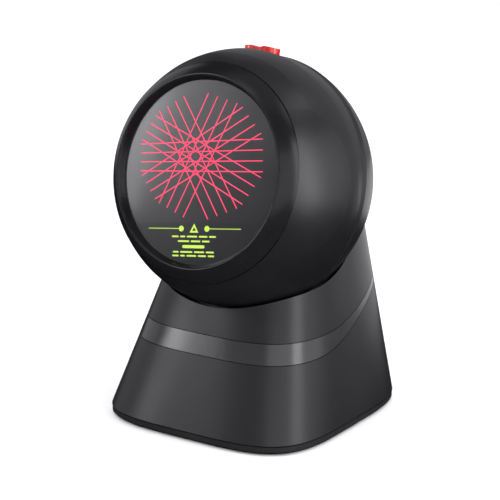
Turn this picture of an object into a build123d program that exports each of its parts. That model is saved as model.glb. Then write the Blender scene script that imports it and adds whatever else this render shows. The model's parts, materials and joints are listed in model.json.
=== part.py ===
from build123d import *
from math import sin, cos, asin, radians, degrees
import os

# Ball-head barcode scanner on a flared stand, millimetres.
# Origin: on the table, at the middle of the stand's footprint. +X right, -Y front, +Z up.

# ---- driving dimensions -------------------------------------------------------------------
BALL_R = 50.0            # outside radius of the head
BALL_WALL = 2.4
BALL_Y, BALL_Z = -7.5, 94.3          # centre of the ball
TILT = 15.2              # window leans back this far at rest, degrees
TILT_UP, TILT_DOWN = 12.0, 10.0

SEAM_IN = BALL_R - BALL_WALL
BEZEL_H = 27.5           # bezel seam, forward of the ball's centre
SPLIT_LEAN, SPLIT_H = 11.6, -2.55    # housing split: leans forward of the window's plane, and its offset
CAP_H = -7.0             # front edge of the rear housing's raised cap
LIP_H, LIP_R = 33.0, 35.8
GLASS_H, GLASS_R, GLASS_T = 30.0, 35.0, 2.0

FOOT_H = 0.6
PLATE_T = 3.4
SKIRT_Z = FOOT_H + PLATE_T
TOP_Z = 74.3             # upper end of the tapered stand, before the cup and rim are cut
SKIRT = (47.6, 48.8, -0.05, 4.0)    # half width, half depth, centre Y, corner exponent
CROWN = (30.6, 34.65, 14.85, 3.0)
WALL = 2.4
CUP_R = 51.2             # cup radius about the ball's centre
CUP_WALL = 2.4
RIM_DROP, RIM_LEAN = 34.8, 15.5     # rim plane: distance below the ball's centre, lean

BAND_TOP = ((-70, 38.6), (-3, 38.6), (19, 41.6), (34, 46.9), (66, 61.0))
BAND_LOW = ((-70, 31.1), (-15, 31.1), (10, 34.3), (31, 42.9), (66, 58.2))
SEAM_GAP = 0.12          # half of the visible gap at each trim band seam

PIN_R = 4.0
NECK_X, NECK_Y = 6.0, 3.5            # half sizes of the post inside the ball
EYE_R = 6.5
BOSS = (33.0, 22.0)                  # housing screw positions on the head

os.makedirs("parts", exist_ok=True)

# ---- reference planes ---------------------------------------------------------------------
s, c = sin(radians(TILT)), cos(radians(TILT))
O = (0, BALL_Y, BALL_Z)
HEAD = Plane(origin=O, x_dir=(1, 0, 0), z_dir=(0, -c, s))        # local Z looks out of the window
PROFILE = Plane(origin=O, x_dir=(1, 0, 0), z_dir=(0, -s, -c))    # X radius, Y forward
SIDE = Plane(origin=(0, BALL_Y, 0), x_dir=(0, 1, 0), z_dir=(1, 0, 0))  # X rearward, Y up
POST = Plane(origin=(0, BALL_Y, 0))                              # level plane under the ball
AXIS = Axis(O, (0, -c, s))
s2, c2 = sin(radians(TILT - SPLIT_LEAN)), cos(radians(TILT - SPLIT_LEAN))
SPLIT = Plane(origin=O, x_dir=(1, 0, 0), z_dir=(0, -s2, -c2))    # as PROFILE, about the split's normal
SPLIT_AXIS = Axis(O, (0, -c2, s2))


def pol(r, deg):
    return (r * cos(radians(deg)), r * sin(radians(deg)))


def head(x, v, h):
    """Plane parallel to the window: x right, v up the window, h forward of the ball's centre."""
    return HEAD.offset(h) * Pos(x, v, 0)


def outline(half_w, half_d, y0, n, inset=0.0, count=48):
    """Rounded-square outline with bulged sides."""
    w, d = half_w - inset, half_d - inset
    pts = []
    for i in range(count):
        a = radians(360 * i / count + 1.0)
        r = ((abs(cos(a)) / w) ** n + (abs(sin(a)) / d) ** n) ** (-1 / n)
        pts.append((r * cos(a), y0 + r * sin(a)))
    return pts


# ---- stand: shared volumes ----------------------------------------------------------------
with BuildPart() as stand_outer:
    with BuildSketch(Plane.XY.offset(SKIRT_Z)):
        with BuildLine():
            Spline(*outline(*SKIRT), periodic=True)
        make_face()
    with BuildSketch(Plane.XY.offset(TOP_Z)):
        with BuildLine():
            Spline(*outline(*CROWN), periodic=True)
        make_face()
    loft(ruled=True)

with BuildPart() as stand_inner:
    with BuildSketch(Plane.XY.offset(SKIRT_Z)):
        with BuildLine():
            Spline(*outline(*SKIRT, inset=WALL), periodic=True)
        make_face()
    with BuildSketch(Plane.XY.offset(TOP_Z)):
        with BuildLine():
            Spline(*outline(*CROWN, inset=WALL), periodic=True)
        make_face()
    loft(ruled=True)

with BuildPart() as stand_liner:
    with BuildSketch(Plane.XY.offset(SKIRT_Z)):
        with BuildLine():
            Spline(*outline(*SKIRT, inset=WALL + 1.6), periodic=True)
        make_face()
    with BuildSketch(Plane.XY.offset(TOP_Z)):
        with BuildLine():
            Spline(*outline(*CROWN, inset=WALL + 1.6), periodic=True)
        make_face()
    loft(ruled=True)


def zone(low, high, low_off, high_off):
    """Everything between two swept seam curves, either of which may be a flat level."""
    with BuildPart() as z:
        with BuildSketch(SIDE):
            with BuildLine():
                lo = [(y, q + low_off) for y, q in low]
                hi = [(y, q + high_off) for y, q in high]
                lo1 = Line(lo[0], lo[1])
                if len(lo) > 2:
                    Spline(*lo[1:], tangents=((1, 0), (1, 0.45)))
                hi1 = Line(hi[0], hi[1])
                if len(hi) > 2:
                    Spline(*hi[1:], tangents=((1, 0), (1, 0.45)))
                Line(lo[0], hi[0])
                Line(lo[-1], hi[-1])
            make_face()
        extrude(amount=70, both=True)
    return z.part


FLOOR = ((-70, SKIRT_Z - 1), (66, SKIRT_Z - 1))
CEILING = ((-70, 90.0), (66, 90.0))
below_band = zone(FLOOR, BAND_LOW, 0, -SEAM_GAP)
in_band = zone(BAND_LOW, BAND_TOP, SEAM_GAP, -SEAM_GAP)
above_band = zone(BAND_TOP, CEILING, SEAM_GAP, 0)
liner_zone = zone(BAND_LOW, BAND_TOP, -3.0, 4.0)

# Rim plane: leans back with the head, so the cup hugs the ball evenly all round.
RIM = Plane(origin=O, x_dir=(1, 0, 0), z_dir=(0, -sin(radians(RIM_LEAN)), cos(radians(RIM_LEAN))))
with BuildPart() as under_rim:
    with Locations(RIM.offset(-RIM_DROP).location):
        Box(160, 160, 80, align=(Align.CENTER, Align.CENTER, Align.MAX))

with BuildPart() as under_deck:
    with Locations(RIM.offset(-RIM_DROP - WALL).location):
        Box(160, 160, 80, align=(Align.CENTER, Align.CENTER, Align.MAX))

with BuildPart() as cavity:
    add(stand_inner.part)
    add(under_deck.part, mode=Mode.INTERSECT)
    with Locations(O):
        Sphere(CUP_R + CUP_WALL, mode=Mode.SUBTRACT)

# ---- liner that backs the trim band and joins the stand's two castings ----------------------
with BuildPart() as liner:
    add(stand_inner.part)
    add(stand_liner.part, mode=Mode.SUBTRACT)
    add(liner_zone, mode=Mode.INTERSECT)
    add(under_deck.part, mode=Mode.INTERSECT)
    with Locations(O):
        Sphere(CUP_R + 0.5, mode=Mode.SUBTRACT)

# ---- base_collar --------------------------------------------------------------------------
with BuildPart() as base_collar:
    add(stand_outer.part)
    add(above_band, mode=Mode.INTERSECT)
    add(under_rim.part, mode=Mode.INTERSECT)
    add(cavity.part, mode=Mode.SUBTRACT)
    with Locations(O):
        Sphere(CUP_R, mode=Mode.SUBTRACT)
    add(liner.part)
    # post passage through the floor of the cup
    with BuildSketch(POST.offset(30)):
        RectangleRounded(2 * NECK_X + 3, 2 * NECK_Y + 3, 2.5)
    extrude(amount=30, mode=Mode.SUBTRACT)
base_collar.part.label = "base_collar"
export_step(base_collar.part, "parts/base_collar.step")

# ---- trim_band ----------------------------------------------------------------------------
with BuildPart() as trim_band:
    add(stand_outer.part)
    add(stand_inner.part, mode=Mode.SUBTRACT)
    add(in_band, mode=Mode.INTERSECT)
trim_band.part.label = "trim_band"
export_step(trim_band.part, "parts/trim_band.step")

# ---- base_shell ---------------------------------------------------------------------------
FLOOR_SCREWS = (64, 66)
JACK_Z = 13.7
with BuildPart() as floor_bosses:
    with Locations((0, 0.5, SKIRT_Z)):
        with GridLocations(*FLOOR_SCREWS, 2, 2):
            Cylinder(3.4, 10, align=(Align.CENTER, Align.CENTER, Align.MIN))
    with Locations((0, 0.5, SKIRT_Z + 1)):
        with GridLocations(88, FLOOR_SCREWS[1], 2, 2):
            Box(20, 1.8, 8, align=(Align.CENTER, Align.CENTER, Align.MIN))
    add(stand_outer.part, mode=Mode.INTERSECT)

with BuildPart() as base_shell:
    add(stand_outer.part)
    add(stand_inner.part, mode=Mode.SUBTRACT)
    add(below_band, mode=Mode.INTERSECT)
    add(floor_bosses.part)
    with Locations((0, 0.5, SKIRT_Z + 5)):
        with GridLocations(*FLOOR_SCREWS, 2, 2):
            Cylinder(1.25, 10, mode=Mode.SUBTRACT)
    # window for the socket at the back
    with Locations((0, 48.5, JACK_Z)):
        Box(15.2, 12, 13.2, mode=Mode.SUBTRACT)
base_shell.part.label = "base_shell"
export_step(base_shell.part, "parts/base_shell.step")

# ---- bottom_plate -------------------------------------------------------------------------
FEET = (58, 40)
POST_SCREW = 12.0
with BuildPart() as bottom_plate:
    with BuildSketch(Plane.XY.offset(FOOT_H)):
        with BuildLine():
            Spline(*outline(*SKIRT, inset=1.0), periodic=True)
        make_face()
    with BuildSketch(Plane.XY.offset(FOOT_H + 0.9)):
        with BuildLine():
            Spline(*outline(*SKIRT, inset=0.15), periodic=True)
        make_face()
    loft(ruled=True)
    with BuildSketch(Plane.XY.offset(FOOT_H + 0.9)):
        with BuildLine():
            Spline(*outline(*SKIRT, inset=0.15), periodic=True)
        make_face()
    extrude(amount=PLATE_T - 1.4)
    with BuildSketch(Plane.XY.offset(SKIRT_Z - 0.5)):
        with BuildLine():
            Spline(*outline(*SKIRT, inset=0.9), periodic=True)
        make_face()
    extrude(amount=0.5)
    # countersunk screw holes, foot recesses and post-screw holes
    with Locations((0, 0.5, FOOT_H)):
        with GridLocations(*FLOOR_SCREWS, 2, 2):
            Cylinder(1.7, 20, mode=Mode.SUBTRACT)
            Cylinder(3.1, 3.2, mode=Mode.SUBTRACT)
    with Locations((0, 0.5, 0.8)):
        with GridLocations(*FEET, 2, 2):
            Cylinder(6.05, 1.6, mode=Mode.SUBTRACT)
    with Locations((-POST_SCREW, BALL_Y, FOOT_H), (POST_SCREW, BALL_Y, FOOT_H)):
        Cylinder(1.7, 20, mode=Mode.SUBTRACT)
        Cylinder(3.1, 3.2, mode=Mode.SUBTRACT)
    # pads under the socket's board
    with Locations((0, 37.5, SKIRT_Z)):
        with GridLocations(18, 10, 2, 2):
            Cylinder(2.0, 1.6, align=(Align.CENTER, Align.CENTER, Align.MIN))
bottom_plate.part.label = "bottom_plate"
export_step(bottom_plate.part, "parts/bottom_plate.step")

# ---- rubber_feet --------------------------------------------------------------------------
with BuildPart() as rubber_feet:
    with BuildSketch(Plane.XY):
        with Locations((0, 0.5)):
            with GridLocations(*FEET, 2, 2):
                Circle(6.0)
    extrude(amount=1.6)
    chamfer(rubber_feet.faces().sort_by(Axis.Z)[:4].edges(), 0.3)
rubber_feet.part.label = "rubber_feet"
export_step(rubber_feet.part, "parts/rubber_feet.step")

# ---- base_screws --------------------------------------------------------------------------
with BuildPart() as base_screws:
    with Locations((0, 0.5, FOOT_H + 0.1)):
        with GridLocations(*FLOOR_SCREWS, 2, 2):
            Cylinder(2.8, 1.5, align=(Align.CENTER, Align.CENTER, Align.MIN))
            Cylinder(1.24, 12, align=(Align.CENTER, Align.CENTER, Align.MIN))
            Box(3.4, 0.7, 1.2, mode=Mode.SUBTRACT)
            Box(0.7, 3.4, 1.2, mode=Mode.SUBTRACT)
base_screws.part.label = "base_screws"
export_step(base_screws.part, "parts/base_screws.step")

# ---- ballast_plate ------------------------------------------------------------------------
BALLAST_T = 5.0
with BuildPart() as ballast_plate:
    with Locations((0, -0.5, SKIRT_Z)):
        Box(56, 46, BALLAST_T, align=(Align.CENTER, Align.CENTER, Align.MIN))
    fillet(ballast_plate.edges().filter_by(Axis.Z), 4)
    with Locations((-POST_SCREW, BALL_Y, SKIRT_Z), (POST_SCREW, BALL_Y, SKIRT_Z)):
        Cylinder(1.7, 20, mode=Mode.SUBTRACT)
ballast_plate.part.label = "ballast_plate"
export_step(ballast_plate.part, "parts/ballast_plate.step")

# ---- neck_post ----------------------------------------------------------------------------
POST_Z = SKIRT_Z + BALLAST_T
with BuildPart() as neck_post:
    with BuildSketch(POST.offset(POST_Z)):
        RectangleRounded(36, 20, 4)
    extrude(amount=4)
    with BuildSketch(POST.offset(POST_Z + 4)):
        RectangleRounded(18, 14, 3)
    with BuildSketch(POST.offset(38.0)):
        RectangleRounded(2 * NECK_X, 2 * NECK_Y, 1.5)
    loft()
    with BuildSketch(POST.offset(38.0)):
        RectangleRounded(2 * NECK_X, 2 * NECK_Y, 1.5)
    extrude(amount=BALL_Z - 38.0)
    with Locations(O):
        Cylinder(EYE_R, 2 * NECK_X, rotation=(0, 90, 0))
        Cylinder(PIN_R + 0.05, 30, rotation=(0, 90, 0), mode=Mode.SUBTRACT)
    with Locations((-POST_SCREW, BALL_Y, POST_Z), (POST_SCREW, BALL_Y, POST_Z)):
        Cylinder(1.25, 20, mode=Mode.SUBTRACT)
neck_post.part.label = "neck_post"
export_step(neck_post.part, "parts/neck_post.step")

# ---- neck_screws --------------------------------------------------------------------------
with BuildPart() as neck_screws:
    with Locations((-POST_SCREW, BALL_Y, FOOT_H + 0.1), (POST_SCREW, BALL_Y, FOOT_H + 0.1)):
        Cylinder(2.8, 1.5, align=(Align.CENTER, Align.CENTER, Align.MIN))
        Cylinder(1.24, 11, align=(Align.CENTER, Align.CENTER, Align.MIN))
        Box(3.4, 0.7, 1.2, mode=Mode.SUBTRACT)
        Box(0.7, 3.4, 1.2, mode=Mode.SUBTRACT)
neck_screws.part.label = "neck_screws"
export_step(neck_screws.part, "parts/neck_screws.step")

# ---- seat_ring ----------------------------------------------------------------------------
lean = radians(RIM_LEAN)
RIM_PROFILE = Plane(origin=O, x_dir=(1, 0, 0), z_dir=(0, -cos(lean), -sin(lean)))
with BuildPart() as seat_ring:
    with BuildSketch(RIM_PROFILE):
        with BuildLine():
            Line(pol(BALL_R + 0.08, -60), pol(CUP_R, -60))
            ThreePointArc(pol(CUP_R, -60), pol(CUP_R, -57.5), pol(CUP_R, -55))
            Line(pol(CUP_R, -55), pol(BALL_R + 0.08, -55))
            ThreePointArc(pol(BALL_R + 0.08, -55), pol(BALL_R + 0.08, -57.5), pol(BALL_R + 0.08, -60))
        make_face()
    revolve(axis=Axis(O, (0, -sin(lean), cos(lean))))
seat_ring.part.label = "seat_ring"
export_step(seat_ring.part, "parts/seat_ring.step")

# ---- jack_board ---------------------------------------------------------------------------
with BuildPart() as jack_board:
    with Locations((0, 37.5, SKIRT_Z + 1.6)):
        Box(24, 17, 1.6, align=(Align.CENTER, Align.CENTER, Align.MIN))
jack_board.part.label = "jack_board"
export_step(jack_board.part, "parts/jack_board.step")

# ---- cable_jack ---------------------------------------------------------------------------
with BuildPart() as cable_jack:
    with Locations((0, 47.9, JACK_Z)):
        Box(15, 15, 13, align=(Align.CENTER, Align.MAX, Align.CENTER))
    with Locations((0, 48.5, 12.6)):
        Box(11.8, 14, 6.8, align=(Align.CENTER, Align.MAX, Align.CENTER), mode=Mode.SUBTRACT)
    with Locations((0, 48.5, 17.2)):
        Box(6.4, 9, 2.6, align=(Align.CENTER, Align.MAX, Align.CENTER), mode=Mode.SUBTRACT)
cable_jack.part.label = "cable_jack"
export_step(cable_jack.part, "parts/cable_jack.step")

# ---- jack_contacts ------------------------------------------------------------------------
with BuildPart() as jack_contacts:
    with Locations((0, 38.5, 9.2)):
        with GridLocations(1.02, 1, 8, 1):
            Box(0.45, 7, 0.5, align=(Align.CENTER, Align.CENTER, Align.MIN))
jack_contacts.part.label = "jack_contacts"
export_step(jack_contacts.part, "parts/jack_contacts.step")

# ---- head: shared cutters -----------------------------------------------------------------
A_SEAM = degrees(asin(BEZEL_H / BALL_R))
SPLIT_DEG = degrees(asin(SPLIT_H / BALL_R))
LEDGE_H = BEZEL_H - 0.34
CROWN_TOP = Plane(origin=O, x_dir=(1, 0, 0), z_dir=(0, s, c))    # looks out of the head's crown

with BuildPart() as lens_hole:
    with BuildSketch(CROWN_TOP.offset(43.5)):
        SlotOverall(15.3, 7.3)
    extrude(amount=12)

with BuildPart() as neck_slot:
    with BuildSketch(SIDE):
        with BuildLine():
            front, rear = radians(-TILT + 0.6), radians(TILT_UP + 4.6)
            Polyline((38 * sin(front), BALL_Z - 38 * cos(front)), (60 * sin(front), BALL_Z - 60 * cos(front)),
                     (60 * sin(rear), BALL_Z - 60 * cos(rear)), (38 * sin(rear), BALL_Z - 38 * cos(rear)),
                     close=True)
        make_face()
    extrude(amount=NECK_X + 1, both=True)

# shallow side scoops and a chamfer ring: the front casting is cut back to slightly larger spheres
SCOOP_DIR, SCOOP_SHIFT, SCOOP_R = 49.0, 7.0, 55.75
RING_SHIFT, RING_R = 1.9, 50.75
STRIP_R = 49.2

# ---- front_housing ------------------------------------------------------------------------
with BuildPart() as front_bosses:
    with Locations(HEAD):
        with GridLocations(2 * BOSS[0], 2 * BOSS[1], 2, 2):
            Cylinder(3.4, 24, align=(Align.CENTER, Align.CENTER, Align.MIN))
    with Locations(O):
        Sphere(BALL_R - 1.2, mode=Mode.INTERSECT)

with BuildPart() as front_housing:
    with BuildSketch(SPLIT):
        with BuildLine():
            Line((BALL_R - 0.5, SPLIT_H), pol(BALL_R, SPLIT_DEG + 0.45))
            ThreePointArc(pol(BALL_R, SPLIT_DEG + 0.45), pol(BALL_R, 40), (0, BALL_R))
            Line((0, BALL_R), (0, SEAM_IN))
            ThreePointArc((0, SEAM_IN), pol(SEAM_IN, 40), pol(SEAM_IN, 2.4))
            Polyline(pol(SEAM_IN, 2.4), (46.0, SPLIT_H + 3.4), (46.0, SPLIT_H - 3.0), (47.1, SPLIT_H - 3.0),
                     (47.25, SPLIT_H), (BALL_R - 0.5, SPLIT_H))
        make_face()
    revolve(axis=SPLIT_AXIS)
    # opening for the bezel, with a narrow reveal round its outer edge
    with BuildSketch(PROFILE):
        with BuildLine():
            Polyline((0, LEDGE_H), (40.35, LEDGE_H), (40.55, LEDGE_H - 0.8), pol(60, A_SEAM - 0.7),
                     (60, 60), (0, 60), close=True)
        make_face()
    revolve(axis=AXIS, mode=Mode.SUBTRACT)
    for side in (1, -1):
        with Locations(head(-side * SCOOP_SHIFT * sin(radians(SCOOP_DIR)), 0,
                            -SCOOP_SHIFT * cos(radians(SCOOP_DIR)))):
            Sphere(SCOOP_R, mode=Mode.INTERSECT)
    with Locations(head(0, 0, -RING_SHIFT)):
        Sphere(RING_R, mode=Mode.INTERSECT)
    add(front_bosses.part)
    with Locations(HEAD):
        with GridLocations(2 * BOSS[0], 2 * BOSS[1], 2, 2):
            Cylinder(1.25, 32, mode=Mode.SUBTRACT)
    add(neck_slot.part, mode=Mode.SUBTRACT)
    add(lens_hole.part, mode=Mode.SUBTRACT)
front_housing.part.label = "front_housing"
export_step(front_housing.part, "parts/front_housing.step")

# ---- rear_housing -------------------------------------------------------------------------
with BuildPart() as rear_bosses:
    with Locations(HEAD):
        with GridLocations(2 * BOSS[0], 2 * BOSS[1], 2, 2):
            Cylinder(4.6, 40, align=(Align.CENTER, Align.CENTER, Align.MAX))
    with Locations(O):
        Sphere(BALL_R - 1.2, mode=Mode.INTERSECT)

# strip behind the split, a little below the rear cap, whose front edge is bevelled
strip_r, strip_end = (STRIP_R ** 2 - CAP_H ** 2) ** 0.5, (STRIP_R ** 2 - 25 ** 2) ** 0.5
with BuildPart() as strip_cut:
    with BuildSketch(PROFILE):
        with BuildLine():
            Polyline((strip_r, CAP_H), (strip_r + 3.6, CAP_H - 12), (60, CAP_H - 12), (60, 25),
                     (strip_end, 25))
            ThreePointArc((strip_end, 25), ((STRIP_R ** 2 - 81) ** 0.5, 9), (strip_r, CAP_H))
        make_face()
    revolve(axis=AXIS)

seam_in_r = (SEAM_IN ** 2 - SPLIT_H ** 2) ** 0.5
with BuildPart() as rear_housing:
    with BuildSketch(SPLIT):
        with BuildLine():
            Line((BALL_R - 0.5, SPLIT_H), pol(BALL_R, SPLIT_DEG - 0.45))
            ThreePointArc(pol(BALL_R, SPLIT_DEG - 0.45), pol(BALL_R, -45), (0, -BALL_R))
            Line((0, -BALL_R), (0, -SEAM_IN))
            ThreePointArc((0, -SEAM_IN), pol(SEAM_IN, -45), (seam_in_r, SPLIT_H))
            Line((seam_in_r, SPLIT_H), (BALL_R - 0.5, SPLIT_H))
        make_face()
    revolve(axis=SPLIT_AXIS)
    add(strip_cut.part, mode=Mode.SUBTRACT)
    add(rear_bosses.part)
    with Locations(HEAD):
        with GridLocations(2 * BOSS[0], 2 * BOSS[1], 2, 2):
            Cylinder(1.7, 60, mode=Mode.SUBTRACT)
    with Locations(HEAD.offset(-10)):
        with GridLocations(2 * BOSS[0], 2 * BOSS[1], 2, 2):
            Cylinder(3.3, 40, align=(Align.CENTER, Align.CENTER, Align.MAX), mode=Mode.SUBTRACT)
    add(neck_slot.part, mode=Mode.SUBTRACT)
    add(lens_hole.part, mode=Mode.SUBTRACT)
    # sound slots for the beeper
    with Locations(head(14, 8, -46)):
        with GridLocations(1, 3.2, 1, 5):
            Box(11, 1.4, 16, mode=Mode.SUBTRACT)
rear_housing.part.label = "rear_housing"
export_step(rear_housing.part, "parts/rear_housing.step")

# ---- front_bezel --------------------------------------------------------------------------
with BuildPart() as front_bezel:
    with BuildSketch(PROFILE):
        with BuildLine():
            Polyline((GLASS_R + 0.1, LEDGE_H), (40.3, LEDGE_H), pol(BALL_R - 0.65, A_SEAM + 1.3),
                     pol(BALL_R - 0.45, A_SEAM + 0.25), pol(BALL_R - 0.05, A_SEAM + 0.35))
            ThreePointArc(pol(BALL_R - 0.05, A_SEAM + 0.35), (39.25, 30.75), (LIP_R + 0.8, LIP_H - 0.1))
            ThreePointArc((LIP_R + 0.8, LIP_H - 0.1), (LIP_R + 0.1, LIP_H - 0.1), (LIP_R - 0.4, LIP_H - 0.6))
            Polyline((LIP_R - 0.4, LIP_H - 0.6), (GLASS_R - 0.6, GLASS_H + 0.02),
                     (GLASS_R + 0.1, GLASS_H + 0.02), (GLASS_R + 0.1, LEDGE_H))
        make_face()
    revolve(axis=AXIS)
front_bezel.part.label = "front_bezel"
export_step(front_bezel.part, "parts/front_bezel.step")

# ---- scan_window --------------------------------------------------------------------------
with BuildPart() as scan_window:
    with Locations(HEAD.offset(LEDGE_H)):
        Cylinder(GLASS_R, GLASS_H - LEDGE_H, align=(Align.CENTER, Align.CENTER, Align.MIN))
scan_window.part.label = "scan_window"
export_step(scan_window.part, "parts/scan_window.step")

# ---- window_gasket ------------------------------------------------------------------------
with BuildPart() as window_gasket:
    with Locations(HEAD.offset(LEDGE_H - 1.0)):
        Cylinder(39.0, 1.0, align=(Align.CENTER, Align.CENTER, Align.MIN))
        Cylinder(33.0, 1.0, align=(Align.CENTER, Align.CENTER, Align.MIN), mode=Mode.SUBTRACT)
window_gasket.part.label = "window_gasket"
export_step(window_gasket.part, "parts/window_gasket.step")

# ---- status_lens --------------------------------------------------------------------------
with BuildPart() as status_lens:
    with BuildSketch(CROWN_TOP.offset(45.0)):
        SlotOverall(15, 7)
    extrude(amount=8)
    with Locations(O):
        Sphere(BALL_R + 1.4, mode=Mode.INTERSECT)
        Sphere(SEAM_IN + 0.2, mode=Mode.SUBTRACT)
    # waist across the middle
    with Locations(CROWN_TOP.offset(BALL_R + 8.1) * Rot(90, 0, 0)):
        Cylinder(7.4, 20, mode=Mode.SUBTRACT)
status_lens.part.label = "status_lens"
export_step(status_lens.part, "parts/status_lens.step")

# ---- led_board and status_led -------------------------------------------------------------
with BuildPart() as led_board:
    with Locations(CROWN_TOP.offset(41.0)):
        Box(20, 10, 1.2, align=(Align.CENTER, Align.CENTER, Align.MIN))
led_board.part.label = "led_board"
export_step(led_board.part, "parts/led_board.step")

with BuildPart() as status_led:
    with Locations(CROWN_TOP.offset(42.2)):
        Box(3.5, 2.8, 1.0, align=(Align.CENTER, Align.CENTER, Align.MIN))
    with Locations(CROWN_TOP.offset(43.2)):
        Cylinder(1.2, 0.5, align=(Align.CENTER, Align.CENTER, Align.MIN))
status_led.part.label = "status_led"
export_step(status_led.part, "parts/status_led.step")

# ---- optics_chassis -----------------------------------------------------------------------
CHASSIS_H, CHASSIS_T = 9.0, 2.0
MIRROR_RING, MIRROR_H = 30.0, 18.0
with BuildPart() as mirror_posts:
    with BuildSketch(PROFILE):
        with BuildLine():
            Polyline((27.5, 11), (34.5, 11), (34.5, 21.36), (27.5, 14.36), close=True)
        make_face()
    extrude(amount=3, both=True)

with BuildPart() as optics_chassis:
    with Locations(HEAD.offset(CHASSIS_H)):
        Cylinder(45.0, CHASSIS_T, align=(Align.CENTER, Align.CENTER, Align.MIN))
        Cylinder(44.0, 5.0, align=(Align.CENTER, Align.CENTER, Align.MIN))
    with Locations(HEAD.offset(CHASSIS_H + CHASSIS_T)):
        Cylinder(42.6, 8.0, align=(Align.CENTER, Align.CENTER, Align.MIN), mode=Mode.SUBTRACT)
    for k in range(5):
        add(mirror_posts.part.rotate(AXIS, 18 + 72 * k))
    with Locations(HEAD):
        with GridLocations(2 * BOSS[0], 2 * BOSS[1], 2, 2):
            Cylinder(3.5, 60, mode=Mode.SUBTRACT)
    # relief beside the bosses, where the rim would leave a sliver
    with Locations(HEAD.offset(CHASSIS_H + CHASSIS_T)):
        with GridLocations(2 * (BOSS[0] + 3), 2 * (BOSS[1] + 2), 2, 2):
            Cylinder(5.2, 6, align=(Align.CENTER, Align.CENTER, Align.MIN), mode=Mode.SUBTRACT)
optics_chassis.part.label = "optics_chassis"
export_step(optics_chassis.part, "parts/optics_chassis.step")

# ---- pattern_mirrors ----------------------------------------------------------------------
with BuildPart() as pattern_mirrors:
    with Locations(HEAD.offset(MIRROR_H)):
        with PolarLocations(MIRROR_RING, 5, start_angle=18):
            Box(1.6, 18, 13, rotation=(0, 45, 0))
pattern_mirrors.part.label = "pattern_mirrors"
export_step(pattern_mirrors.part, "parts/pattern_mirrors.step")

# ---- spindle_motor ------------------------------------------------------------------------
SPINDLE_R = 1.5
with BuildPart() as spindle_motor:
    with Locations(HEAD.offset(CHASSIS_H + CHASSIS_T)):
        Cylinder(9.5, 4.0, align=(Align.CENTER, Align.CENTER, Align.MIN))
        Cylinder(SPINDLE_R, 12.0, align=(Align.CENTER, Align.CENTER, Align.MIN))
    chamfer(spindle_motor.edges().filter_by(GeomType.CIRCLE).sort_by(SortBy.RADIUS)[-2:], 0.4)
spindle_motor.part.label = "spindle_motor"
export_step(spindle_motor.part, "parts/spindle_motor.step")

# ---- rotor_hub and polygon_mirror ---------------------------------------------------------
with BuildPart() as rotor_hub:
    with Locations(HEAD.offset(CHASSIS_H + CHASSIS_T + 4.2)):
        Cylinder(8.0, 1.2, align=(Align.CENTER, Align.CENTER, Align.MIN))
    with Locations(HEAD):
        Cylinder(SPINDLE_R + 0.05, 60, mode=Mode.SUBTRACT)
rotor_hub.part.label = "rotor_hub"
export_step(rotor_hub.part, "parts/rotor_hub.step")

with BuildPart() as polygon_mirror:
    with BuildSketch(HEAD.offset(CHASSIS_H + CHASSIS_T + 5.4)):
        RectangleRounded(15, 15, 1.2)
    extrude(amount=6.0, taper=5)
    with Locations(HEAD):
        Cylinder(SPINDLE_R + 0.05, 60, mode=Mode.SUBTRACT)
polygon_mirror.part.label = "polygon_mirror"
export_step(polygon_mirror.part, "parts/polygon_mirror.step")

# ---- laser_holder, laser_module, collector_mirror, photodetector ----------------------------
LASER_H = 19.0
with BuildPart() as laser_holder:
    with Locations(head(0, -21.0, CHASSIS_H + CHASSIS_T)):
        Box(10, 15, LASER_H + 4.5 - CHASSIS_H - CHASSIS_T, align=(Align.CENTER, Align.MAX, Align.MIN))
    with Locations(head(0, -30, LASER_H) * Rot(90, 0, 0)):
        Cylinder(3.0, 40, mode=Mode.SUBTRACT)
laser_holder.part.label = "laser_holder"
export_step(laser_holder.part, "parts/laser_holder.step")

with BuildPart() as laser_module:
    with Locations(head(0, -29.5, LASER_H) * Rot(90, 0, 0)):
        Cylinder(3.0, 14)
    with Locations(head(0, -22.0, LASER_H) * Rot(90, 0, 0)):
        Cylinder(1.2, 1.0)
laser_module.part.label = "laser_module"
export_step(laser_module.part, "parts/laser_module.step")

with BuildPart() as collector_mirror:
    with Locations(head(0, -20.1, LASER_H) * Rot(90, 0, 0)):
        Cylinder(7.0, 1.8)
        Cylinder(1.6, 4, mode=Mode.SUBTRACT)
collector_mirror.part.label = "collector_mirror"
export_step(collector_mirror.part, "parts/collector_mirror.step")

with BuildPart() as photodetector:
    with Locations(head(13.5, -14.5, CHASSIS_H + CHASSIS_T)):
        Cylinder(2.6, 3.5, align=(Align.CENTER, Align.CENTER, Align.MIN))
photodetector.part.label = "photodetector"
export_step(photodetector.part, "parts/photodetector.step")

# ---- main_board, board_spacers, buzzer, board_connectors ------------------------------------
BOARD_H = -13.6
with BuildPart() as main_board:
    with Locations(head(0, 13.5, BOARD_H)):
        Box(52, 45, 1.6, align=(Align.CENTER, Align.CENTER, Align.MIN))
    fillet(main_board.edges().filter_by(lambda e: abs(e.length - 1.6) < 1e-3), 3)
main_board.part.label = "main_board"
export_step(main_board.part, "parts/main_board.step")

with BuildPart() as board_spacers:
    with Locations(head(0, 12.5, BOARD_H + 1.6)):
        with GridLocations(44, 35, 2, 2):
            Cylinder(2.0, CHASSIS_H - BOARD_H - 1.6, align=(Align.CENTER, Align.CENTER, Align.MIN))
board_spacers.part.label = "board_spacers"
export_step(board_spacers.part, "parts/board_spacers.step")

with BuildPart() as buzzer:
    with Locations(head(14, 8, BOARD_H)):
        Cylinder(6.0, 6.5, align=(Align.CENTER, Align.CENTER, Align.MAX))
    with Locations(head(14, 8, BOARD_H - 6.5)):
        Cylinder(1.0, 2.0, mode=Mode.SUBTRACT)
buzzer.part.label = "buzzer"
export_step(buzzer.part, "parts/buzzer.step")

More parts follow.
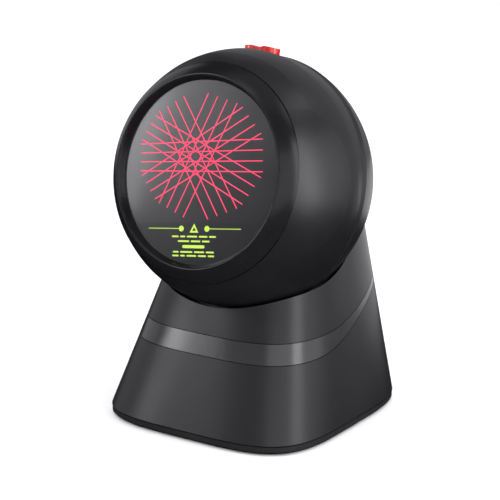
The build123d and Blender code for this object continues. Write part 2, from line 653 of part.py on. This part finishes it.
with BuildPart() as board_connectors:
    with Locations(head(-13, 2, BOARD_H)):
        Box(14, 5.5, 5.0, align=(Align.CENTER, Align.CENTER, Align.MAX))
    with Locations(head(-13, 26, BOARD_H)):
        Box(9, 4.5, 4.5, align=(Align.CENTER, Align.CENTER, Align.MAX))
    with Locations(head(-2, 14, BOARD_H)):
        Box(9, 9, 1.4, align=(Align.CENTER, Align.CENTER, Align.MAX))
board_connectors.part.label = "board_connectors"
export_step(board_connectors.part, "parts/board_connectors.step")

# ---- housing_screws -----------------------------------------------------------------------
with BuildPart() as housing_screws:
    with Locations(HEAD.offset(-10)):
        with GridLocations(2 * BOSS[0], 2 * BOSS[1], 2, 2):
            Cylinder(2.8, 2.2, align=(Align.CENTER, Align.CENTER, Align.MAX))
            Cylinder(1.24, 23, align=(Align.CENTER, Align.CENTER, Align.MIN))
    with Locations(HEAD.offset(-12.2)):
        with GridLocations(2 * BOSS[0], 2 * BOSS[1], 2, 2):
            Box(3.4, 0.7, 2.0, mode=Mode.SUBTRACT)
            Box(0.7, 3.4, 2.0, mode=Mode.SUBTRACT)
housing_screws.part.label = "housing_screws"
export_step(housing_screws.part, "parts/housing_screws.step")

# ---- tilt_bracket, tilt_pin, tilt_nut, friction_washers --------------------------------------
LUG_X, LUG_T, LUG_R = 7.2, 2.5, 6.8
SIDE_HEAD = Plane(origin=O, x_dir=(0, -c, s), z_dir=(1, 0, 0))   # X forward, normal +X
with BuildPart() as tilt_bracket:
    for x in (-LUG_X - LUG_T, LUG_X):
        with BuildSketch(SIDE_HEAD.offset(x)):
            Circle(LUG_R)
            Rectangle(CHASSIS_H, 2 * LUG_R, align=(Align.MIN, Align.CENTER))
        extrude(amount=LUG_T)
    with BuildSketch(SIDE_HEAD.offset(-LUG_X - LUG_T)):
        with Locations((CHASSIS_H - 2, 0)):
            Rectangle(2, 2 * LUG_R, align=(Align.MIN, Align.CENTER))
    extrude(amount=2 * (LUG_X + LUG_T))
    with Locations(O):
        Cylinder(PIN_R, 60, rotation=(0, 90, 0), mode=Mode.SUBTRACT)
tilt_bracket.part.label = "tilt_bracket"
export_step(tilt_bracket.part, "parts/tilt_bracket.step")

with BuildPart() as tilt_pin:
    with Locations((-LUG_X - LUG_T, BALL_Y, BALL_Z)):
        Cylinder(PIN_R, 2 * (LUG_X + LUG_T) + 4, rotation=(0, 90, 0),
                 align=(Align.CENTER, Align.CENTER, Align.MIN))
        Cylinder(6.0, 2.0, rotation=(0, 90, 0), align=(Align.CENTER, Align.CENTER, Align.MAX))
tilt_pin.part.label = "tilt_pin"
export_step(tilt_pin.part, "parts/tilt_pin.step")

with BuildPart() as tilt_nut:
    with BuildSketch(Plane.YZ.offset(LUG_X + LUG_T)):
        with Locations((BALL_Y, BALL_Z)):
            RegularPolygon(6.5, 6)
            Circle(PIN_R, mode=Mode.SUBTRACT)
    extrude(amount=3.2)
tilt_nut.part.label = "tilt_nut"
export_step(tilt_nut.part, "parts/tilt_nut.step")

with BuildPart() as friction_washers:
    with Locations((-6.6, BALL_Y, BALL_Z), (6.6, BALL_Y, BALL_Z)):
        Cylinder(6.2, 1.1, rotation=(0, 90, 0))
        Cylinder(PIN_R, 4, rotation=(0, 90, 0), mode=Mode.SUBTRACT)
friction_washers.part.label = "friction_washers"
export_step(friction_washers.part, "parts/friction_washers.step")
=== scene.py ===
import bpy, bmesh, json
from math import sin, cos, asin, atan2, radians, pi
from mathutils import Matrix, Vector


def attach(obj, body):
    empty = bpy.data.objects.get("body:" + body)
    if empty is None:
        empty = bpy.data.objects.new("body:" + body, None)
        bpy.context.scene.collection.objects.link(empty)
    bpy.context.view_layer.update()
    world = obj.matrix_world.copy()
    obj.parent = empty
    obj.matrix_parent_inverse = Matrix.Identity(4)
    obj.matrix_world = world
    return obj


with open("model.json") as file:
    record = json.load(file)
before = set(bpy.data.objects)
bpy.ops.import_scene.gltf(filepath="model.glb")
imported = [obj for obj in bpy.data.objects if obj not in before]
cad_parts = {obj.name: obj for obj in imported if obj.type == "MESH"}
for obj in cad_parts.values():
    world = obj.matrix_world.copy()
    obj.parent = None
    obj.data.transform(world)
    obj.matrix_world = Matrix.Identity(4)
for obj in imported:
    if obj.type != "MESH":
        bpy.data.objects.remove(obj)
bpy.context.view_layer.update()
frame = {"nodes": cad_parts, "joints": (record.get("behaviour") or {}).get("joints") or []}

N = frame["nodes"]
JOINTS = {j["name"]: j for j in frame["joints"]}
BALL = Vector(JOINTS["head_tilt"]["pos_m"])                   # centre of the ball
LOOK = Vector(JOINTS["mirror_spin"]["axis"]).normalized()     # out of the window
RIGHT = Vector((1, 0, 0))
UP = LOOK.cross(RIGHT).normalized()                           # up the window
if UP.z < 0:
    UP = -UP
MM = 0.001
scene = bpy.context.scene


# ---- material nodes ------------------------------------------------------------------------
def shader(name, base, rough, metallic=0.0, ior=1.5, coat=0.0, coat_rough=0.1, spec=0.5):
    """A new material with its constant values on the shader itself."""
    m = bpy.data.materials.new(name)
    m.use_nodes = True
    b = m.node_tree.nodes["Principled BSDF"]
    b.inputs["Base Color"].default_value = (*base, 1)
    b.inputs["Roughness"].default_value = rough
    b.inputs["Metallic"].default_value = metallic
    b.inputs["IOR"].default_value = ior
    b.inputs["Specular IOR Level"].default_value = spec
    b.inputs["Coat Weight"].default_value = coat
    b.inputs["Coat Roughness"].default_value = coat_rough
    return m, m.node_tree, b


def noise(nt, scale, detail=3.0, rough=0.55, stretch=None):
    """Noise fixed to the object, stretched where the surface is brushed."""
    tc = nt.nodes.new("ShaderNodeTexCoord")
    n = nt.nodes.new("ShaderNodeTexNoise")
    n.inputs["Scale"].default_value = scale
    n.inputs["Detail"].default_value = detail
    n.inputs["Roughness"].default_value = rough
    vector = tc.outputs["Object"]
    if stretch:
        mp = nt.nodes.new("ShaderNodeMapping")
        mp.inputs["Scale"].default_value = stretch
        nt.links.new(vector, mp.inputs["Vector"])
        vector = mp.outputs["Vector"]
    nt.links.new(vector, n.inputs["Vector"])
    return n.outputs["Fac"]


def spread(nt, fac, low, high):
    """Map a noise to a range of values."""
    r = nt.nodes.new("ShaderNodeMapRange")
    r.inputs["From Min"].default_value, r.inputs["From Max"].default_value = 0.3, 0.7
    r.inputs["To Min"].default_value, r.inputs["To Max"].default_value = low, high
    nt.links.new(fac, r.inputs["Value"])
    return r.outputs["Result"]


def two_tone(nt, fac, a, b):
    """Blend two colours by a noise."""
    r = nt.nodes.new("ShaderNodeValToRGB")
    r.color_ramp.elements[0].position, r.color_ramp.elements[0].color = 0.3, (*a, 1)
    r.color_ramp.elements[1].position, r.color_ramp.elements[1].color = 0.7, (*b, 1)
    nt.links.new(fac, r.inputs["Fac"])
    return r.outputs["Color"]


def bump(nt, fac, strength, depth):
    """Surface relief from a noise."""
    b = nt.nodes.new("ShaderNodeBump")
    b.inputs["Strength"].default_value = strength
    b.inputs["Distance"].default_value = depth
    nt.links.new(fac, b.inputs["Height"])
    return b.outputs["Normal"]


def moulded(name, base, rough, grain=0.25, pitch=2600, vary=0.12, **kw):
    """Moulded plastic or rubber: fine mould grain, faint flow mottling, uneven sheen."""
    m, nt, b = shader(name, base, rough, **kw)
    flow = noise(nt, 38, 4.0, 0.5)
    shades = [tuple(c * k for c in base) for k in (1 - vary, 1 + vary)]
    nt.links.new(two_tone(nt, flow, *shades), b.inputs["Base Color"])
    nt.links.new(spread(nt, flow, rough - 0.03, rough + 0.03), b.inputs["Roughness"])
    nt.links.new(bump(nt, noise(nt, pitch, 2.0, 0.6), grain, 0.04 * MM), b.inputs["Normal"])
    return m


def metal(name, base, rough, pitch=900, stretch=None):
    """Bare or plated metal with brushing or casting texture."""
    m, nt, b = shader(name, base, rough, metallic=1.0)
    f = noise(nt, pitch, 4.0, 0.6, stretch)
    nt.links.new(spread(nt, f, rough - 0.07, rough + 0.10), b.inputs["Roughness"])
    nt.links.new(two_tone(nt, f, tuple(c * 0.86 for c in base), base), b.inputs["Base Color"])
    nt.links.new(bump(nt, f, 0.15, 0.03 * MM), b.inputs["Normal"])
    return m


def ink(name, colour, painted_glow, rough=0.35):
    """Screen-printed ink with slightly uneven cover and a painted glow: it emits its own colour though
    it is no lamp.
    """
    m, nt, b = shader(name, colour, rough)
    # painted glow: the ink emits its own colour, so it reads brighter than the lamps alone would make it
    b.inputs["Emission Color"].default_value = (*colour, 1)
    b.inputs["Emission Strength"].default_value = painted_glow
    f = noise(nt, 1800, 2.0, 0.5)
    nt.links.new(two_tone(nt, f, tuple(c * 0.86 for c in colour), colour), b.inputs["Base Color"])
    nt.links.new(spread(nt, f, rough - 0.05, rough + 0.05), b.inputs["Roughness"])
    return m


def solder_mask(name):
    """Green mask over copper pours."""
    m, nt, b = shader(name, (0.010, 0.085, 0.035), 0.32, coat=0.5, coat_rough=0.15)
    tc = nt.nodes.new("ShaderNodeTexCoord")
    br = nt.nodes.new("ShaderNodeTexBrick")
    br.inputs["Scale"].default_value = 260
    br.inputs["Mortar Size"].default_value = 0.03
    for slot, c in (("Color1", (0.010, 0.085, 0.035)), ("Color2", (0.014, 0.11, 0.045)),
                    ("Mortar", (0.007, 0.055, 0.024))):
        br.inputs[slot].default_value = (*c, 1)
    nt.links.new(tc.outputs["Object"], br.inputs["Vector"])
    nt.links.new(br.outputs["Color"], b.inputs["Base Color"])
    nt.links.new(bump(nt, br.outputs["Fac"], 0.3, 0.04 * MM), b.inputs["Normal"])
    return m


def tinted_glass(name, base, rough):
    """Dark hard-coated window with a faint haze."""
    m, nt, b = shader(name, base, rough, ior=1.55, coat=0.3, coat_rough=0.06)
    haze = noise(nt, 55, 4.0, 0.6)
    nt.links.new(spread(nt, haze, rough - 0.02, rough + 0.02), b.inputs["Roughness"])
    shades = [tuple(c * k for c in base) for k in (0.9, 1.1)]
    nt.links.new(two_tone(nt, haze, *shades), b.inputs["Base Color"])
    nt.links.new(bump(nt, noise(nt, 160, 2.0, 0.5), 0.04, 0.02 * MM), b.inputs["Normal"])
    return m


def light_pipe(name):
    """Red translucent lens, faintly lit from below."""
    m, nt, b = shader(name, (0.50, 0.008, 0.005), 0.14, ior=1.49, coat=0.7, coat_rough=0.05)
    b.inputs["Subsurface Weight"].default_value = 0.4
    b.inputs["Subsurface Radius"].default_value = (0.004, 0.0006, 0.0004)
    b.inputs["Emission Color"].default_value = (1.0, 0.03, 0.012, 1)
    b.inputs["Emission Strength"].default_value = 0.08
    f = noise(nt, 420, 3.0, 0.5)
    nt.links.new(two_tone(nt, f, (0.42, 0.006, 0.004), (0.58, 0.010, 0.006)), b.inputs["Base Color"])
    nt.links.new(spread(nt, f, 0.11, 0.17), b.inputs["Roughness"])
    nt.links.new(bump(nt, f, 0.1, 0.02 * MM), b.inputs["Normal"])
    return m


SATIN = moulded("satin_black_head", (0.0085, 0.0083, 0.0095), 0.36, grain=0.18)
STAND = moulded("satin_black_stand", (0.0098, 0.0094, 0.0112), 0.35, grain=0.20, spec=0.42)
BAND = moulded("gloss_black_band", (0.0150, 0.0148, 0.0165), 0.26, grain=0.05, coat=0.4, coat_rough=0.20)
BEZEL = moulded("semigloss_black", (0.0075, 0.0074, 0.0084), 0.27, grain=0.06, spec=0.28)
PLATE = moulded("matte_black_plate", (0.012, 0.012, 0.013), 0.55, grain=0.4)
RUBBER = moulded("rubber_black", (0.014, 0.014, 0.014), 0.75, grain=0.6, pitch=1500)
NYLON = moulded("nylon_black", (0.016, 0.016, 0.017), 0.45, grain=0.15)
CHASSIS = moulded("chassis_grey", (0.07, 0.07, 0.075), 0.5, grain=0.3)
ACETAL = moulded("acetal_ivory", (0.62, 0.61, 0.56), 0.4, grain=0.1, vary=0.05)
LINER = moulded("liner_black", (0.010, 0.010, 0.011), 0.5, grain=0.2)
ZINC = metal("zinc_plated", (0.60, 0.60, 0.57), 0.34)
STEEL = metal("ground_steel", (0.42, 0.42, 0.43), 0.38, 260, (1, 30, 30))
ALLOY = metal("cast_alloy", (0.52, 0.52, 0.53), 0.45)
GOLD = metal("gold_flash", (0.82, 0.60, 0.22), 0.25)
MIRROR = metal("front_mirror", (0.90, 0.91, 0.92), 0.10)
PCB = solder_mask("solder_mask")
GLASS = tinted_glass("tinted_window", (0.0150, 0.0150, 0.0170), 0.20)
FILM = tinted_glass("dark_film", (0.0045, 0.0052, 0.0070), 0.24)
LENS = light_pipe("red_light_pipe")
# the last number of each ink is the strength of its painted glow
PINK = ink("ink_pink", (0.85, 0.020, 0.095), 0.32)
LIME = ink("ink_lime", (0.42, 0.62, 0.055), 0.18)

FINISH = {
    SATIN: "front_housing rear_housing", STAND: "base_collar base_shell", BAND: "trim_band",
    BEZEL: "front_bezel", GLASS: "scan_window", LENS: "status_lens", PLATE: "bottom_plate",
    RUBBER: "rubber_feet window_gasket", NYLON: "cable_jack buzzer board_connectors photodetector",
    CHASSIS: "optics_chassis laser_holder", ACETAL: "friction_washers status_led", LINER: "seat_ring",
    ZINC: "base_screws neck_screws housing_screws tilt_bracket tilt_pin tilt_nut board_spacers",
    STEEL: "ballast_plate spindle_motor rotor_hub", ALLOY: "neck_post",
    GOLD: "jack_contacts laser_module", MIRROR: "pattern_mirrors collector_mirror polygon_mirror",
    PCB: "jack_board led_board main_board",
}
for material, names in FINISH.items():
    for n in names.split():
        N[n].data.materials.clear()
        N[n].data.materials.append(material)


# ---- printed film on the window --------------------------------------------------------------
def from_ball(v):
    """A vertex's distance ahead of the ball's centre and off the window's axis."""
    d = v.co - BALL
    ahead = d.dot(LOOK)
    return ahead, (d - LOOK * ahead).length


GLASS_H = max(from_ball(v)[0] for v in N["scan_window"].data.vertices)
GLASS_R = max(from_ball(v)[1] for v in N["scan_window"].data.vertices)
SEEN_R = GLASS_R - 0.7 * MM          # the bezel covers the edge
FILM_TURN = radians(7.4)             # the film sits slightly turned in its ring
FILM_SHIFT = -1.8 * MM               # and off its middle


def on_glass(x, y, lift):
    """A point of the film, x and y from the artwork's middle, in the shared frame."""
    x += FILM_SHIFT
    u = x * cos(FILM_TURN) - y * sin(FILM_TURN)
    v = x * sin(FILM_TURN) + y * cos(FILM_TURN)
    return BALL + LOOK * (GLASS_H + lift) + RIGHT * u + UP * v


def slab(bm, ring, lift, thick):
    """A thin closed slab of ink inside a ring of film points."""
    top = [bm.verts.new(on_glass(x, y, lift + thick)) for x, y in ring]
    low = [bm.verts.new(on_glass(x, y, lift)) for x, y in ring]
    bm.faces.new(top)
    bm.faces.new(low[::-1])
    for i in range(len(ring)):
        j = (i + 1) % len(ring)
        bm.faces.new((top[i], low[i], low[j], top[j]))


def piece(bm, name, material, body):
    """Close a mesh into a named piece that rides on a body."""
    bmesh.ops.recalc_face_normals(bm, faces=bm.faces)
    me = bpy.data.meshes.new(name)
    bm.to_mesh(me)
    bm.free()
    me.materials.append(material)
    o = bpy.data.objects.new(name, me)
    scene.collection.objects.link(o)
    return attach(o, body)


def arc(cx, cy, r, a0, a1, steps):
    """Points along an arc."""
    return [(cx + r * cos(a0 + (a1 - a0) * k / steps), cy + r * sin(a0 + (a1 - a0) * k / steps))
            for k in range(steps + 1)]


def stroke(x0, y0, x1, y1, width):
    """Round-ended stroke outline."""
    a = atan2(y1 - y0, x1 - x0)
    r = width / 2
    return arc(x1, y1, r, a - pi / 2, a + pi / 2, 6) + arc(x0, y0, r, a + pi / 2, a + 1.5 * pi, 6)


# scan pattern: five families of four parallel strokes, printed with a slight keystone
STAR_SPAN, STAR_GAP, STAR_STROKE = 25.0 * MM, 4.03 * MM, 0.37 * MM
STAR_TURNS = (0, 32, 65, -65, -32)
STAR_X, STAR_Y = -0.24 * MM, 5.91 * MM
STAR_WIDEN, STAR_LEAN_X = 1.079, -0.036
STAR_SQUASH, STAR_LEAN_Y = 0.906, -0.017
KEYSTONE = -3.23                     # per metre across the film
PRINT_T = 0.02 * MM
STAR_LIFT, STAR_STEP = 0.010 * MM, 0.001 * MM    # each stroke lies just over the last


def keystone(x, y):
    """Place a point of the regular star on the film."""
    w = 1 + KEYSTONE * x
    return ((STAR_WIDEN * x + STAR_LEAN_X * y + STAR_X) / w,
            (STAR_LEAN_Y * x + STAR_SQUASH * y + STAR_Y) / w)


bm = bmesh.new()
for f, turn in enumerate(STAR_TURNS):
    ca, sa = cos(radians(turn)), sin(radians(turn))
    for k in range(4):
        off = (k - 1.5) * STAR_GAP
        x0, y0 = keystone(-off * sa - STAR_SPAN * ca, off * ca - STAR_SPAN * sa)
        x1, y1 = keystone(-off * sa + STAR_SPAN * ca, off * ca + STAR_SPAN * sa)
        slab(bm, stroke(x0, y0, x1, y1, STAR_STROKE), STAR_LIFT + STAR_STEP * (4 * f + k), PRINT_T)
piece(bm, "scan_pattern_print", PINK, "head")

# dark lower field of the film
FIELD_TOP, FIELD_LIFT, FIELD_T = -18.8 * MM, 0.004 * MM, 0.02 * MM
reach = asin(-FIELD_TOP / SEEN_R)
bm = bmesh.new()
slab(bm, arc(-FILM_SHIFT, 0, SEEN_R, -pi + reach, -reach, 60), FIELD_LIFT, FIELD_T)
piece(bm, "window_lower_field", FILM, "head")

# rule, two dots, a ring triangle and plain bars, in place of printed lettering
RULE_Y, RULE_X, RULE_HALF, RULE_STROKE = -20.9 * MM, 0.35 * MM, 20.6 * MM, 0.28 * MM
DOT_X, DOT_R, DOT_GAP = 5.75 * MM, 1.1 * MM, 0.9 * MM
TRI_OUT, TRI_IN, TRI_DROP = 2.25 * MM, 0.95 * MM, 0.35 * MM
LIFT = 0.03 * MM
BLANK = 0.75 * MM                    # between two bars of a row
ROWS = (                             # height on the film, half width, thickness (mm), bars
    (-23.85, 9.9, 0.62, 5), (-25.60, 7.15, 0.62, 3), (-27.60, 5.0, 1.15, 1), (-29.60, 9.2, 0.62, 4),
    (-31.00, 9.4, 0.62, 5))


def corner(k, r):
    """A corner of the triangle, r from its middle."""
    a = 2 * pi * (k % 3) / 3
    return RULE_X + r * sin(a), RULE_Y - TRI_DROP + r * cos(a)


bm = bmesh.new()
for side in (-1, 1):
    inner_end, outer_end = RULE_X + side * (DOT_X + DOT_GAP), RULE_X + side * RULE_HALF
    slab(bm, stroke(inner_end, RULE_Y, outer_end, RULE_Y, RULE_STROKE), LIFT, PRINT_T)
    slab(bm, arc(RULE_X + side * DOT_X, RULE_Y, DOT_R, 0, 2 * pi - pi / 12, 23),
         LIFT + PRINT_T / 4, PRINT_T)
for k in range(3):
    slab(bm, [corner(k, TRI_OUT), corner(k + 1, TRI_OUT), corner(k + 1, TRI_IN), corner(k, TRI_IN)],
         LIFT, PRINT_T)
for y, half, tall, bars in ROWS:
    y, half, tall = y * MM, half * MM, tall * MM
    shares = [1.0 + 0.35 * ((3 * k + bars) % 4 - 1.5) / 1.5 for k in range(bars)]
    unit = (2 * half - BLANK * (bars - 1)) / sum(shares)
    x = RULE_X - half
    for share in shares:
        w = share * unit
        slab(bm, stroke(x + tall / 2, y, x + w - tall / 2, y, tall), LIFT, PRINT_T)
        x += w + BLANK
piece(bm, "window_lower_print", LIME, "head")


# ---- floor, light and camera -----------------------------------------------------------------
FLOOR_HALF, FLOOR_DROP = 12, 0.05 * MM
PAPER, PAPER_LOW, PAPER_HIGH = (0.93,) * 3, (0.925,) * 3, (0.935,) * 3
bm = bmesh.new()
bmesh.ops.create_grid(bm, x_segments=8, y_segments=8, size=FLOOR_HALF)
me = bpy.data.meshes.new("floor")
bm.to_mesh(me)
bm.free()
floor = bpy.data.objects.new("floor", me)
scene.collection.objects.link(floor)
floor.location.z = -FLOOR_DROP
paper, nt, b = shader("floor_paper", PAPER, 0.9, spec=0.1)
nt.links.new(two_tone(nt, noise(nt, 6, 2.0), PAPER_LOW, PAPER_HIGH), b.inputs["Base Color"])
me.materials.append(paper)
floor.visible_glossy = False         # the glossy parts mirror the lights alone

world = bpy.data.worlds.new("studio")
scene.world = world
world.use_nodes = True
bg = world.node_tree.nodes["Background"]
bg.inputs["Color"].default_value = (1.0, 1.0, 1.0, 1)
bg.inputs["Strength"].default_value = 1.0
world.cycles_visibility.glossy = False
scene.view_settings.view_transform = "Standard"


SOFT_WHITE = (0.97, 0.955, 1.0)


def softbox(name, azimuth, dist, low, high, wide, radiance):
    """Upright panel of a given brightness facing the object, by azimuth: 0 in front, positive right."""
    a = radians(azimuth)
    out = Vector((sin(a), -cos(a), 0))
    data = bpy.data.lights.new(name, "AREA")
    data.shape = "RECTANGLE"
    data.size, data.size_y = wide, high - low
    data.energy = radiance * pi * wide * (high - low)
    data.color = SOFT_WHITE
    o = bpy.data.objects.new(name, data)
    scene.collection.objects.link(o)
    o.location = out * dist + Vector((0, 0, (low + high) / 2))
    o.rotation_mode = "QUATERNION"
    o.rotation_quaternion = (-out).to_track_quat("-Z", "Y")
    o.visible_camera = False
    return o


PANELS = (                           # azimuth, distance, bottom, top, width (metres), radiance
    ("key_left", -43.4, 1.6, 0.37, 1.50, 0.355, 7.2),
    ("left_fill", -95, 1.0, 0.01, 0.95, 1.30, 0.7),
    ("front_fill", 0, 1.3, 0.25, 1.20, 1.20, 0.35),
    ("front_right", 50, 0.70, 0.004, 0.55, 0.76, 1.5),
    ("key_right", 85.5, 0.35, 0.02, 0.35, 0.105, 4.8),
    ("right_fill", 109, 0.36, 0.004, 0.30, 0.20, 1.2),
    ("back_fill", 174, 0.9, 0.01, 1.25, 1.90, 0.45),
    ("back_low", 166, 0.24, 0.001, 0.07, 0.20, 1.3),
)
TOP_PANELS = (                       # azimuth, distance, bottom, width, depth (metres), radiance
    ("top_left", -20, 0.4, 1.05, 0.3, 0.2, 3.0),
    ("top_back", 126, 0.62, 0.80, 0.55, 0.32, 1.6),
    ("overhead", 60, 0.1, 1.3, 2.0, 2.0, 0.35),
)
AIM = Vector((0, 0, 0.1))
for panel in PANELS:
    softbox(*panel)
for name, azimuth, dist, low, wide, deep, radiance in TOP_PANELS:
    lamp = softbox(name, azimuth, dist, low, low + deep, wide, radiance)
    lamp.rotation_quaternion = (AIM - lamp.location).to_track_quat("-Z", "Y")

CAM_LENS, CAM_SENSOR = 121.36, 36
CAM_PLACE, CAM_TILT, CAM_TURN = (0.35476, -0.53259, 0.23897), 74.714, 33.81
cam_data = bpy.data.cameras.new("camera")
cam_data.lens = CAM_LENS
cam_data.sensor_width = CAM_SENSOR
cam = bpy.data.objects.new("camera", cam_data)
scene.collection.objects.link(cam)
cam.location = CAM_PLACE
cam.rotation_euler = (radians(CAM_TILT), 0, radians(CAM_TURN))
cam_data.clip_start, cam_data.clip_end = 0.02, 60
scene.camera = cam
